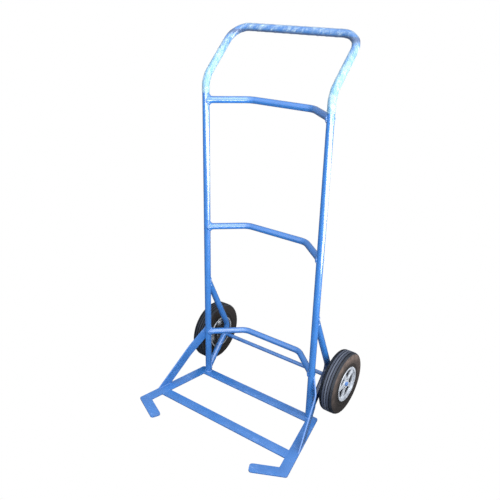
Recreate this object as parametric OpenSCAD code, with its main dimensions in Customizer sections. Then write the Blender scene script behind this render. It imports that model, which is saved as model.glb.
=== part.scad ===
// Two-wheeled hand truck, welded from round tube and flat bar, standing upright.
// +X is to the right, +Y to the back (the wheel side), +Z up.
// The origin is on the floor, midway between the stiles and in their plane.

/* [Main frame] */
// Distance between the centre lines of the stiles
frame_w = 500; // [400:1:640]
// Height of the bend where each stile turns into the handle
stile_h = 1231; // [1000:1:1500]
// How far the top of the handle stands behind the stiles
handle_back = 168.5; // [130:0.5:240]
// How far the top of the handle stands above the lower bend
handle_rise = 163; // [130:0.5:240]
// Outer diameter of the frame tube
tube_d = 25.4; // [20:0.1:32]
// Wall of every round tube
tube_wall = 2; // [1.2:0.1:3]
// Centre line radius of the lower bend of the handle
low_bend_r = 80; // [60:1:100]
// Centre line radius of the top corners of the handle
top_bend_r = 65; // [45:1:80]

/* [Rungs] */
// Height of the lower rung above the floor
lower_rung_h = 202; // [160:1:260]
// Height of the middle rung above the floor
middle_rung_h = 674; // [500:1:820]
// Drop of the upper rung below the bend of the handle
upper_rung_drop = 75; // [60:1:160]
// How much thinner the rungs are than the frame tube
rung_slim = 0.9; // [0.5:0.1:5]
// How far each rung bows back behind the stiles
rung_bow = 105; // [70:1:130]
// Distance across from a stile to the bend of a rung
rung_side = 120; // [90:1:150]
// Centre line radius of the bends of a rung
rung_bend_r = 55; // [35:1:80]

/* [Axle braces] */
// How much thinner the axle braces are than the frame tube
brace_slim = 0.4; // [0.2:0.1:4]
// Height of the foot of a brace above the toe frame
brace_foot = 15.2; // [14:0.1:24]
// Straight length of the lower leg between the axle and the bend
brace_straight = 1.1; // [0.5:0.1:20]
// Angle of the upper leg from upright
brace_lean = 25.5; // [22:0.5:35]
// Centre line radius of the bend of a brace
brace_bend_r = 48; // [40:1:66]

/* [Toe frame] */
// Width of the flat bar of the toe frame
bar_w = 40; // [30:1:48]
// Thickness of the flat bar of the toe frame
bar_t = 6; // [4:0.5:10]
// How far the toe frame reaches behind the stiles
toe_back = 11.7; // [8:0.1:16]
// Distance across from a stile to the outer back corner of the toe frame
toe_side = 36; // [30:1:44]
// Angle by which each side bar splays outwards to the front
splay = 11.44; // [6:0.01:14]
// Length of the outer edge of a side bar
side_len = 329.8; // [280:0.1:400]
// Angle of a hook from straight across
hook_angle = 26; // [15:0.5:35]
// Length of the front edge of a hook
hook_len = 135; // [100:1:165]
// Distance from the back edge of the toe frame to the back edge of the front bar
front_bar_at = 211; // [160:1:240]
// Rounding of the outer corners of the toe frame
corner_r = 6; // [2:0.5:12]
// Rounding of the front corner of a hook's tip
tip_r = 9; // [3:0.5:14]

/* [Flat braces] */
// Width of the flat braces
flat_w = 40; // [30:1:46]
// Thickness of the flat braces
flat_t = 5; // [3:0.5:8]
// Distance of the front of the left foot from the outer back corner, along the side bar
left_flat_foot = 240; // [225:1:255]
// Distance of the front of the right foot from the outer back corner, along the side bar
right_flat_foot = 212; // [205:1:255]
// Length of the lower stretch, from the front of the foot back to the crease
flat_lower = 166; // [155:1:170]
// Slope of the lower stretch
flat_slope = 40.5; // [30:0.5:42]
// Slope of the upper stretch
flat_top_slope = 46.5; // [35:0.5:50]

/* [Axle] */
// Diameter of the axle
axle_d = 16; // [12:0.5:20]
// How far the axle ends beyond the outer washers
axle_end = 7.5; // [6:0.5:15]
// Diameter of the split pins
pin_d = 3.2; // [2.4:0.1:4]
// Thickness of the washers
washer_t = 2.5; // [1.5:0.1:4]
// Outer diameter of the washers
washer_d = 30; // [26:1:34]

/* [Wheels] */
// Diameter of the wheels
wheel_d = 250; // [208:1:300]
// How far the front of the wheels stands behind the centre lines of the stiles
wheel_back = 1.3; // [0:0.1:20]
// Width of the tyres
tyre_w = 53.4; // [44:0.1:64]
// Gap between an axle brace and the inner face of the tyre
wheel_gap = 21.7; // [12:0.1:30]
// Radius of the bead seat of the rim
rim_r = 66; // [56:0.5:72]
// Height of the rim's lip above the bead seat
lip_h = 4.4; // [2:0.1:6]
// Thickness of the rim's lip
lip_t = 3; // [2:0.1:5]
// How far the lip stands out beyond the side of the tyre
lip_proud = 4.2; // [3.5:0.1:8]
// Thickness of the rim's barrel
barrel_t = 5; // [3:0.1:7]
// Thickness of the spoked web
web_t = 10; // [6:0.5:14]
// How far the web is sunk below the outer lip
web_sunk = 6; // [3:0.5:12]
// Number of spokes of each wheel
spokes = 5; // [4:1:6]
// Width of a spoke
spoke_w = 17; // [12:0.5:22]
// Depth of the rib behind each spoke
rib_h = 20; // [10:1:26]
// Thickness of the rib behind each spoke
rib_t = 6; // [4:0.5:9]
// Outer radius of the hub's boss
boss_r = 18; // [16:0.5:21]
// How far the outer end of the boss is sunk below the lip
boss_sunk = 9.5; // [8:0.5:14]
// Gap round the outer washer in the face of the web
washer_gap = 2; // [1:0.5:3]
// Turn of the left wheel's first window up from straight back
left_turn = 30; // [0:1:72]
// Turn of the right wheel's first window up from straight back
right_turn = 71.5; // [0:0.5:90]

/* [Bushes] */
// Outer diameter of the bushes pressed into the boss
bush_d = 22; // [20:0.5:24]
// Length of a bush inside the boss
bush_len = 20; // [12:1:26]
// Thickness of a bush's flange
flange_t = 2; // [1:0.5:3]
// Width of a bush's flange beyond its barrel
flange_w = 3; // [2:0.5:4]

/* [Handle film] */
// Thickness of the film wound round the handle
film_t = 0.8; // [0.4:0.1:1.6]
// Start of the film above the upper rung, left side
film_left = 26; // [24:1:30]
// Start of the film above the upper rung, right side
film_right = 18; // [16:1:24]

/* [Fits] */
// Running clearance of the axle in the bushes, on the radius
run_clear = 0.05; // [0.02:0.01:0.09]
// Free play between the hub and each washer
end_play = 0.5; // [0.3:0.1:1]
// Clearance of a split pin in its hole, on the radius
pin_clear = 0.3; // [0.1:0.05:0.5]

/* [Hidden] */
$fn = 64;
eps = 0.01;
ring_w = 0.4;
ring_h = 0.02;
tube_r = tube_d / 2;
rung_r = tube_r - rung_slim / 2;
brace_r = tube_r - brace_slim / 2;
axle_r = axle_d / 2;
wheel_r = wheel_d / 2;
axle_back = wheel_r + wheel_back;
half_w = frame_w / 2;
handle_h = stile_h + handle_rise;
upper_rung_h = stile_h - upper_rung_drop;

// axle brace, in the plane of the stile: [back, up]
axle_at = [axle_back, wheel_r];
foot_at = [0, bar_t + brace_foot];
foot_to_axle = norm(axle_at - foot_at);
brace_off = brace_r + axle_r;
low_leg_angle = atan2(axle_at[1] - foot_at[1], axle_at[0]) + asin(brace_off / foot_to_axle);
brace_turn = 90 - low_leg_angle + brace_lean;
brace_past = brace_straight + brace_bend_r * tan(brace_turn / 2);
low_leg = sqrt(pow(foot_to_axle, 2) - pow(brace_off, 2)) + brace_past;
elbow_at = foot_at + low_leg * [cos(low_leg_angle), sin(low_leg_angle)];
brace_top = elbow_at[1] + elbow_at[0] / tan(brace_lean);

// right-hand side of the toe frame, seen from above
forward = [sin(splay), -cos(splay)];
inward = [-cos(splay), -sin(splay)];
to_tip = [-cos(hook_angle), -sin(hook_angle)];
tip_side = [-sin(hook_angle), cos(hook_angle)];
back_corner = [half_w + toe_side, toe_back];
front_corner = back_corner + side_len * forward;
hook_turn = acos(-forward * to_tip);
mitre = (to_tip - forward) / norm(to_tip - forward);
inner_corner = front_corner + bar_w / sin(hook_turn / 2) * mitre;
back_inner_x = back_corner[0] - bar_w / cos(splay);
tip_corner = front_corner + hook_len * to_tip;

// flat brace, seen from above
crease_top = bar_t + flat_lower * tan(flat_slope);
flat_rise = flat_w / cos(flat_slope);
flat_foot_len = flat_w / sin(flat_slope);
stile_off = tube_r - flat_t / 2;

// wheel and its fittings: distances out from the middle plane of the truck
tyre_in = half_w + tube_r + wheel_gap;
wheel_mid = tyre_in + tyre_w / 2;
rim_half = tyre_w / 2 + lip_proud;
lip_out = wheel_mid + rim_half;
lip_r = rim_r + lip_h;
barrel_r = rim_r - barrel_t;
web_out = lip_out - web_sunk;
inner_washer_at = half_w + tube_r + eps;
hub_in = inner_washer_at + washer_t + end_play;
hub_out = lip_out - boss_sunk;
boss_in = hub_in + flange_t;
boss_out = hub_out - flange_t;
outer_washer_at = hub_out + end_play;
axle_half = outer_washer_at + washer_t + axle_end;
pin_at = outer_washer_at + washer_t + pin_d / 2 + pin_clear + 1;
tread_cut = 3;
tread_rows = [-16.5, -5.5, 5.5, 16.5];

function unit(v) = v / norm(v);

// tangent length of a bend of radius r at corner p[i]
function setback(p, i, r) =
    r * tan(acos(unit(p[i] - p[i - 1]) * unit(p[i + 1] - p[i])) / 2);

// points of a polygon whose corner i is rounded to radii[i]
function rounded(p, radii, steps = 6) = [
    for (i = [0:len(p) - 1])
        let (n = len(p), r = radii[i], a = unit(p[(i + n - 1) % n] - p[i]), b = unit(p[(i + 1) % n] - p[i]),
             half = acos(a * b) / 2, centre = p[i] + r / sin(half) * unit(a + b),
             from = p[i] + r / tan(half) * a - centre, to = p[i] + r / tan(half) * b - centre)
        each r == 0 ? [p[i]] : [
            for (k = [0:steps]) centre + r * unit(from * (1 - k / steps) + to * k / steps)]
];

// straight round bar from a to b
module rod(a, b, r) {
    d = b - a;
    translate(a) rotate([0, acos(d[2] / norm(d)), atan2(d[1], d[0])]) cylinder(h = norm(d), r = r);
}

module ring(at, d, r) {
    rod(at - ring_w / 2 * d, at + ring_w / 2 * d, r + ring_h);
}

// round bar of radius r along the points p, bent to the radii in bends;
// a hair-thin ring joins each straight to its bend
module bent_rod(p, bends, r) {
    last = len(p) - 1;
    for (i = [0:last - 1]) {
        d = unit(p[i + 1] - p[i]);
        start = i == 0 ? 0 : setback(p, i, bends[i - 1]);
        end = i == last - 1 ? 0 : setback(p, i + 1, bends[i]);
        rod(p[i] + start * d, p[i + 1] - end * d, r);
        if (i > 0) ring(p[i] + start * d, d, r);
        if (i < last - 1) ring(p[i + 1] - end * d, d, r);
    }
    for (i = [1:last - 1]) {
        u = unit(p[i] - p[i - 1]);
        v = unit(p[i + 1] - p[i]);
        inner = unit(v - (v * u) * u);
        big = bends[i - 1];
        c = p[i] - setback(p, i, big) * u + big * inner;
        z = cross(-inner, u);
        multmatrix([[-inner[0], u[0], z[0], c[0]], [-inner[1], u[1], z[1], c[1]], [-inner[2], u[2], z[2], c[2]]])
            rotate_extrude(angle = acos(u * v)) translate([big, 0]) circle(r);
    }
}

// tube along the points p, with the bore run on past both ends
module bent_tube(p, bends, r, wall) {
    last = len(p) - 1;
    bore = [for (i = [0:last]) i == 0 ? p[0] + unit(p[0] - p[1])
                             : i == last ? p[last] + unit(p[last] - p[last - 1]) : p[i]];
    difference() {
        bent_rod(p, bends, r);
        bent_rod(bore, bends, r - wall);
    }
}

// centre line of the stiles and the handle, from two foot heights
function frame_path(left_z, right_z) = [
    [-half_w, 0, left_z], [-half_w, 0, stile_h], [-half_w, handle_back, handle_h],
    [half_w, handle_back, handle_h], [half_w, 0, stile_h], [half_w, 0, right_z]
];
frame_bends = [low_bend_r, top_bend_r, top_bend_r, low_bend_r];

// both stiles as plain rods, to cope the ends of what is welded to them
module stile_rods() {
    for (side = [-1, 1]) translate([side * half_w, 0, 0]) cylinder(h = stile_h, r = tube_r);
}

module frame_tube() {
    color("royalblue") bent_tube(frame_path(bar_t, bar_t), frame_bends, tube_r, tube_wall);
}

module rung(h) {
    bend_x = half_w - rung_side;
    color("royalblue") difference() {
        bent_tube([[-half_w, 0, h], [-bend_x, rung_bow, h], [bend_x, rung_bow, h], [half_w, 0, h]],
                  [rung_bend_r, rung_bend_r], rung_r, tube_wall);
        stile_rods();
    }
}

module axle_brace() {
    color("royalblue") difference() {
        bent_tube([[half_w, 0, brace_top], [half_w, elbow_at[0], elbow_at[1]], [half_w, 0, foot_at[1]]],
                  [brace_bend_r], brace_r, tube_wall);
        stile_rods();
    }
}

// x of the inner edge of the side bar at a given y
function inner_x(y) = back_inner_x + (toe_back - y) * tan(splay);

module cross_bar(back_y) {
    front_y = back_y - bar_w;
    color("royalblue") linear_extrude(bar_t) polygon([
        [inner_x(back_y), back_y], [inner_x(front_y), front_y],
        [-inner_x(front_y), front_y], [-inner_x(back_y), back_y]]);
}

module side_bar() {
    color("royalblue") linear_extrude(bar_t) polygon(rounded(
        [back_corner, front_corner, inner_corner, [back_inner_x, toe_back]], [corner_r, 0, 0, 0]));
}

module toe_hook() {
    color("royalblue") linear_extrude(bar_t) polygon(rounded(
        [front_corner, inner_corner, tip_corner + bar_w * tip_side, tip_corner], [0, 0, corner_r, tip_r]));
}

// upright plate that starts above the point at and runs in the direction angle
module upright_plate(at, angle, outline) {
    translate([at[0], at[1], 0]) rotate([90, 0, angle])
        translate([0, 0, -flat_t / 2]) linear_extrude(flat_t) polygon(outline);
}

module flat_brace(foot) {
    crease_at = back_corner + (foot - flat_lower) * forward + flat_t / 2 * inward;
    to_stile = [half_w, 0] - crease_at;
    top_run_angle = atan2(to_stile[1], to_stile[0]) - asin(stile_off / norm(to_stile));
    top_run = sqrt(pow(norm(to_stile), 2) - pow(stile_off, 2)) - 0.3 * tube_r;
    top_rise = top_run * tan(flat_top_slope);
    crease_low = crease_top - flat_rise;
    color("royalblue") difference() {
        union() {
            upright_plate(crease_at, splay - 90, [
                [0, crease_low], [0, crease_top], [flat_lower, bar_t], [flat_lower - flat_foot_len, bar_t]]);
            upright_plate(crease_at, top_run_angle, [
                [0, crease_low], [0, crease_top], [top_run, crease_top + top_rise],
                [top_run, crease_low + top_rise]]);
            translate([crease_at[0], crease_at[1], crease_low + flat_t / 2])
                cylinder(h = flat_rise - flat_t, r = flat_t / 2);
        }
        stile_rods();
    }
}

// places a round piece on the axle, lying outwards from a distance x
module on_axle(x) {
    translate([x, axle_back, wheel_r]) rotate([0, 90, 0]) children();
}

module axle() {
    color("royalblue") difference() {
        on_axle(-axle_half) cylinder(h = 2 * axle_half, r = axle_r);
        for (side = [-1, 1]) translate([side * pin_at, axle_back, wheel_r - axle_r - 1])
            cylinder(h = axle_d + 2, r = pin_d / 2 + pin_clear);
    }
}

module washer(at) {
    color("silver") on_axle(at) difference() {
        cylinder(h = washer_t, r = washer_d / 2);
        translate([0, 0, -1]) cylinder(h = washer_t + 2, r = axle_r + 0.3);
    }
}

module bush(barrel_at, flange_at) {
    color("black") difference() {
        union() {
            on_axle(barrel_at) cylinder(h = bush_len, r = bush_d / 2);
            on_axle(flange_at) cylinder(h = flange_t, r = bush_d / 2 + flange_w);
        }
        on_axle(hub_in - 1) cylinder(h = hub_out - hub_in + 2, r = axle_r + run_clear);
    }
}

module split_pin() {
    shank = axle_d + 7;
    eye_r = 1.1 * pin_d;
    color("silver") translate([pin_at, axle_back, wheel_r]) {
        translate([0, 0, -shank / 2]) cylinder(h = shank, r = pin_d / 2);
        translate([0, 0, shank / 2 + eye_r]) rotate([0, 90, 0])
            rotate_extrude() translate([eye_r, 0]) circle(pin_d / 3);
        for (side = [-1, 1]) translate([0, 0, -shank / 2 + pin_d / 2])
            rotate([side * 125, 0, 0]) cylinder(h = 2.2 * pin_d, r = pin_d / 3);
    }
}

// half of the tyre's section, as [radius, distance from the middle]
module tyre() {
    w = tyre_w / 2;
    bead = w + lip_proud - lip_t;
    side = [[rim_r, bead], [lip_r + 1, bead], [lip_r + 5, w - 2.4], [lip_r + 14, w - 0.8],
            [lip_r + 26, w], [wheel_r - 14, w - 0.6], [wheel_r - 6, w - 3], [wheel_r - 2.2, w - 6.5],
            [wheel_r, w - 11]];
    far_side = [for (i = [len(side) - 1:-1:0]) [side[i][0], -side[i][1]]];
    color("dimgray") difference() {
        on_axle(wheel_mid) rotate_extrude() polygon(concat(side, far_side));
        for (row = tread_rows) on_axle(wheel_mid + row * tyre_w / 53.4 - tread_cut / 2) difference() {
            cylinder(h = tread_cut, r = wheel_r + 1);
            translate([0, 0, -1]) cylinder(h = tread_cut + 2, r = wheel_r - tread_cut);
        }
    }
}

// window between two spokes: a wedge with rounded corners
module window() {
    r = 4;
    inner = boss_r + 7 + r;
    outer = barrel_r - 4 - r;
    half_gap = 180 / spokes;
    low = asin((spoke_w / 2 + r) / inner);
    high = asin((spoke_w / 2 + r) / outer);
    p = [inner * [cos(half_gap - low), sin(half_gap - low)], outer * [cos(half_gap - high), sin(half_gap - high)],
         outer * [cos(half_gap - high), -sin(half_gap - high)], inner * [cos(half_gap - low), -sin(half_gap - low)]];
    linear_extrude(2 * web_t) {
        polygon(p);
        for (i = [0:3]) {
            n = unit([(p[(i + 1) % 4] - p[i])[1], -(p[(i + 1) % 4] - p[i])[0]]);
            polygon([p[i], p[(i + 1) % 4], p[(i + 1) % 4] - r * n, p[i] - r * n]);
            translate(p[i]) circle(r);
        }
    }
}

module hub(turn) {
    color("lightgray") difference() {
        union() {
            on_axle(boss_in) cylinder(h = boss_out - boss_in, r = boss_r);
            on_axle(web_out - web_t) cylinder(h = web_t, r = rim_r - eps);
            on_axle(wheel_mid - rim_half) difference() {
                union() {
                    cylinder(h = 2 * rim_half, r = rim_r);
                    cylinder(h = lip_t, r = lip_r);
                    translate([0, 0, 2 * rim_half - lip_t]) cylinder(h = lip_t, r = lip_r);
                }
                translate([0, 0, -1]) cylinder(h = 2 * rim_half + 2, r = barrel_r);
            }
            for (i = [0:spokes - 1]) translate([web_out - web_t, axle_back, wheel_r])
                rotate([turn + (i + 0.5) * 360 / spokes, 0, 0])
                    translate([-rib_h, boss_r - 2, -rib_t / 2]) cube([rib_h + 1, rim_r - boss_r - 1, rib_t]);
        }
        for (i = [0:spokes - 1]) translate([web_out - 1.5 * web_t, axle_back, wheel_r])
            rotate([turn + i * 360 / spokes, 0, 0]) rotate([90, 0, 90]) window();
        on_axle(hub_in - 1) cylinder(h = hub_out - hub_in + 2, r = bush_d / 2);
        on_axle(boss_out) cylinder(h = web_sunk + boss_sunk, r = washer_d / 2 + washer_gap);
    }
}

// sleeve of film over the handle
module handle_film() {
    color("lightcyan") difference() {
        bent_rod(frame_path(upper_rung_h + film_left, upper_rung_h + film_right), frame_bends, tube_r + film_t);
        bent_rod(frame_path(bar_t, bar_t), frame_bends, tube_r);
    }
}

frame_tube();
rung(upper_rung_h);  // upper_rung
rung(middle_rung_h);  // middle_rung
rung(lower_rung_h);  // lower_rung
mirror([1, 0, 0]) axle_brace();  // left_axle_brace
axle_brace();  // right_axle_brace
axle();
cross_bar(toe_back);  // back_bar
cross_bar(toe_back - front_bar_at);  // front_bar
mirror([1, 0, 0]) side_bar();  // left_side_bar
side_bar();  // right_side_bar
mirror([1, 0, 0]) toe_hook();  // left_toe_hook
toe_hook();  // right_toe_hook
mirror([1, 0, 0]) flat_brace(left_flat_foot);  // left_flat_brace
flat_brace(right_flat_foot);  // right_flat_brace
handle_film();
mirror([1, 0, 0]) tyre();  // left_tyre
tyre();  // right_tyre
mirror([1, 0, 0]) hub(left_turn);  // left_hub
hub(right_turn);  // right_hub
mirror([1, 0, 0]) bush(boss_in, hub_in);  // left_inner_bush
mirror([1, 0, 0]) bush(boss_out - bush_len, boss_out);  // left_outer_bush
bush(boss_in, hub_in);  // right_inner_bush
bush(boss_out - bush_len, boss_out);  // right_outer_bush
mirror([1, 0, 0]) washer(inner_washer_at);  // left_inner_washer
mirror([1, 0, 0]) washer(outer_washer_at);  // left_outer_washer
washer(inner_washer_at);  // right_inner_washer
washer(outer_washer_at);  // right_outer_washer
mirror([1, 0, 0]) split_pin();  // left_split_pin
split_pin();  // right_split_pin
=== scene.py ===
import math

import bmesh
import bpy
import numpy as np
from mathutils import Matrix, Vector


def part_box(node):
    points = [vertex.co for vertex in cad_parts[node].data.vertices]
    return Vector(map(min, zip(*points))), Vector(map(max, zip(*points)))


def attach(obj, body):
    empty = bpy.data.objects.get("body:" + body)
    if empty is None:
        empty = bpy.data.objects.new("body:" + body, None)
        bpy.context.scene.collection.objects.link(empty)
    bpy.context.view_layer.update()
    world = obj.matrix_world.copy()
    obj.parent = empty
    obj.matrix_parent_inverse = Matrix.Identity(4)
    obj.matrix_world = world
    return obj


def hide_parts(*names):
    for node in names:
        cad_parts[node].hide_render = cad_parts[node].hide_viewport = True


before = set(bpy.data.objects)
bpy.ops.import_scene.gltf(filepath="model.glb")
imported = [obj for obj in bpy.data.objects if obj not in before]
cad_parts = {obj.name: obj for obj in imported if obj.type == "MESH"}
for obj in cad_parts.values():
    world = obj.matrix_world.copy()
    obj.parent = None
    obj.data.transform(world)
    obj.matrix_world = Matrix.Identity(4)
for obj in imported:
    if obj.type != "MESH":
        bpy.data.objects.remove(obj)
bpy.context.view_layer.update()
print("frame loaded:", len(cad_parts), "nodes")

# sizes read off the frame, in metres
tubeLow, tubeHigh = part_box("frame_tube")
tubeR = -tubeLow.y
halfW = tubeHigh.x - tubeR
handleBack = tubeHigh.y - tubeR
handleTop = tubeHigh.z - tubeR
barTop = tubeLow.z
tyreLow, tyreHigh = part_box("right_tyre")
hubLow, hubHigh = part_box("right_hub")
axleLow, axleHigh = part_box("axle")
wheelR = (tyreHigh.z - tyreLow.z) / 2
tyreHalf = (tyreHigh.x - tyreLow.x) / 2
wheelMid = (tyreHigh.x + tyreLow.x) / 2
axleY = (tyreLow.y + tyreHigh.y) / 2
axleZ = (tyreLow.z + tyreHigh.z) / 2
axleR = (axleHigh.z - axleLow.z) / 2
rimHalf = hubHigh.x - wheelMid
lipR = (hubHigh.z - hubLow.z) / 2
bothSides = {"left": -1, "right": 1}
up = Vector((0, 0, 1))


def intoScene(thing):
    bpy.context.scene.collection.objects.link(thing)
    return thing


# camera

camera = {
    "place": (1.12187, -1.64028, 1.52992),
    "turn": 35.4218,  # to the left of straight back
    "down": 24.0692,
    "roll": 1.24478,
    "lens": 42.774,
    "sensor": 36,
}


def makeCamera(c):
    turn, down, roll = (math.radians(c[k]) for k in ("turn", "down", "roll"))
    ahead = Vector((-math.sin(turn) * math.cos(down), math.cos(turn) * math.cos(down), -math.sin(down)))
    level = Vector((math.cos(turn), math.sin(turn), 0))
    above = level.cross(ahead)
    right = math.cos(roll) * level + math.sin(roll) * above
    top = math.cos(roll) * above - math.sin(roll) * level
    data = bpy.data.cameras.new("camera")
    data.lens, data.sensor_width = c["lens"], c["sensor"]
    cam = intoScene(bpy.data.objects.new("camera", data))
    cam.matrix_world = Matrix.Translation(c["place"]) @ Matrix((right, top, -ahead)).transposed().to_4x4()
    bpy.context.scene.camera = cam


makeCamera(camera)

# shader building


def newMaterial(name, **fixed):
    mat = bpy.data.materials.new(name)
    mat.use_nodes = True
    shader = next(n for n in mat.node_tree.nodes if n.type == "BSDF_PRINCIPLED")
    for key, value in fixed.items():
        shader.inputs[key].default_value = value
    return mat, mat.node_tree, shader


def setInput(tree, socket, value):
    if isinstance(value, bpy.types.NodeSocket):
        tree.links.new(value, socket)
    else:
        socket.default_value = value


def addNode(tree, kind, inputs=None, **settings):
    node = tree.nodes.new(kind)
    for key, value in settings.items():
        setattr(node, key, value)
    for key, value in (inputs or {}).items():
        setInput(tree, node.inputs[key], value)
    return node


def calc(tree, operation, a, b=0.0, c=0.0):
    return addNode(tree, "ShaderNodeMath", {0: a, 1: b, 2: c}, operation=operation).outputs[0]


def times(tree, first, *others):
    for other in others:
        first = calc(tree, "MULTIPLY", first, other)
    return first


def mixColours(tree, factor, a, b):
    node = addNode(tree, "ShaderNodeMix", data_type="RGBA", clamp_factor=True)
    for index, value in ((0, factor), (6, a), (7, b)):
        setInput(tree, node.inputs[index], value)
    return node.outputs[2]


def ramp(tree, value, low, high, toLow=0.0, toHigh=1.0):
    return addNode(tree, "ShaderNodeMapRange", {
        "Value": value, "From Min": low, "From Max": high, "To Min": toLow, "To Max": toHigh}).outputs[0]


def noise(tree, vector, scale, detail=3.0, roughness=0.55):
    return addNode(tree, "ShaderNodeTexNoise", {
        "Vector": vector, "Scale": scale, "Detail": detail, "Roughness": roughness}).outputs[0]


def separated(tree, vector):
    return addNode(tree, "ShaderNodeSeparateXYZ", {0: vector}).outputs


def fromAxle(tree, place):
    # across the wheel, up from the axle and out from the axle's line
    x, y, z = separated(tree, place)
    y, z = calc(tree, "SUBTRACT", y, axleY), calc(tree, "SUBTRACT", z, axleZ)
    return x, z, calc(tree, "SQRT", calc(tree, "ADD", times(tree, y, y), times(tree, z, z)))


def mapped(tree, vector, scale=(1, 1, 1), turn=0.0):
    return addNode(tree, "ShaderNodeMapping", {
        "Vector": vector, "Scale": scale, "Rotation": (0, 0, turn)}).outputs[0]


def objectCoords(tree):
    return addNode(tree, "ShaderNodeTexCoord").outputs["Object"]


def alongCoords(tree):
    return addNode(tree, "ShaderNodeUVMap", uv_map="along").outputs[0]


def bump(tree, height, distance):
    return addNode(tree, "ShaderNodeBump", {
        "Height": height, "Distance": distance, "Strength": 1.0}).outputs[0]


def newGroup(name, inputs, outputs):
    tree = bpy.data.node_groups.new(name, "ShaderNodeTree")
    for label, value in inputs.items():
        kind = "NodeSocketVector" if value is None else "NodeSocketFloat"
        socket = tree.interface.new_socket(label, in_out="INPUT", socket_type=kind)
        if value is not None:
            socket.default_value = value
    for label in outputs:
        tree.interface.new_socket(label, in_out="OUTPUT", socket_type="NodeSocketFloat")
    return tree, tree.nodes.new("NodeGroupInput").outputs, tree.nodes.new("NodeGroupOutput").inputs


def placeGroup(tree, group, **inputs):
    return addNode(tree, "ShaderNodeGroup", inputs, node_tree=group).outputs


def brushGroup():
    # paint laid on along the part: drawn-out streaks, slow clouds and a fine orange peel
    tree, inp, out = newGroup("brushedPaint", {
        "Vector": None, "Fine": 60.0, "Wide": 17.0, "Streaks": 1.0, "Clouds": 14.0, "Peel": 500.0},
        ["Streak", "Cloud", "Peel"])
    fine = noise(tree, inp["Vector"], inp["Fine"], 4.0, 0.62)
    wide = noise(tree, inp["Vector"], inp["Wide"], 2.0)
    both = calc(tree, "ADD", times(tree, fine, 0.6), times(tree, wide, 0.4))
    tree.links.new(times(tree, calc(tree, "SUBTRACT", both, 0.5), inp["Streaks"]), out["Streak"])
    place = objectCoords(tree)
    tree.links.new(noise(tree, place, inp["Clouds"], 3.0), out["Cloud"])
    tree.links.new(noise(tree, place, inp["Peel"], 2.0), out["Peel"])
    return tree


def dustGroup():
    # dust that gathers in soft patches, broken up by grit
    tree, inp, out = newGroup("dust", {
        "Vector": None, "Scale": 25.0, "Grit": 700.0, "Low": 0.4, "High": 0.75}, ["Mask"])
    patches = noise(tree, inp["Vector"], inp["Scale"], 4.0, 0.6)
    grit = times(tree, calc(tree, "SUBTRACT", noise(tree, inp["Vector"], inp["Grit"], 2.0), 0.5), 0.3)
    tree.links.new(ramp(tree, calc(tree, "ADD", patches, grit), inp["Low"], inp["High"]), out["Mask"])
    return tree


def scratchGroup():
    # thin scratches: the narrow band where a stretched noise crosses its middle, in patches
    tree, inp, out = newGroup("scratches", {
        "Vector": None, "Scale": 40.0, "Width": 0.012, "Patches": 9.0}, ["Mask"])
    drawn = noise(tree, inp["Vector"], inp["Scale"], 2.0)
    away = calc(tree, "ABSOLUTE", calc(tree, "SUBTRACT", drawn, 0.5))
    thin = calc(tree, "LESS_THAN", away, inp["Width"])
    where = ramp(tree, noise(tree, inp["Vector"], inp["Patches"], 2.0), 0.5, 0.62)
    tree.links.new(times(tree, thin, where), out["Mask"])
    return tree


brushedPaint = brushGroup()
dust = dustGroup()
scratches = scratchGroup()

# finishes

paint = {
    "deep": (0.016, 0.095, 0.30, 1),
    "main": (0.022, 0.120, 0.36, 1),
    "light": (0.040, 0.155, 0.42, 1),
    "settled": (0.36, 0.42, 0.5, 1),
    "scratch": (0.3, 0.45, 0.75, 1),
    # painted shadow colour, where the right wheel shades the paint
    "grimeAndShade": (0.004, 0.010, 0.040, 1),
    "roughness": 0.24,
    "specular": 0.6,
    "coat": 1.0,
    "coatRoughness": 0.05,
    "peelShare": 0.05,
    "peelHeight": 0.00002,
}
# painted shadow of the right wheel on what lies beside it; each pair is where it ends and where it is full
wheelShadow = {
    "inside": (-0.03, -0.01), "outside": (0.02, 0.015),  # across, from the stile's middle
    "behind": (0.012, 0.03), "height": (0.225, 0.185), "amount": 0.93,
}


# painted shadow: the zone beside the right wheel that its shade darkens
def wheelShadowMask(tree):
    x, y, z = separated(tree, objectCoords(tree))
    inside, outside = ([halfW + v for v in wheelShadow[key]] for key in ("inside", "outside"))
    return times(tree, ramp(tree, x, *inside), ramp(tree, x, *outside), ramp(tree, y, *wheelShadow["behind"]),
                 ramp(tree, z, *wheelShadow["height"]), wheelShadow["amount"])


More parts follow.
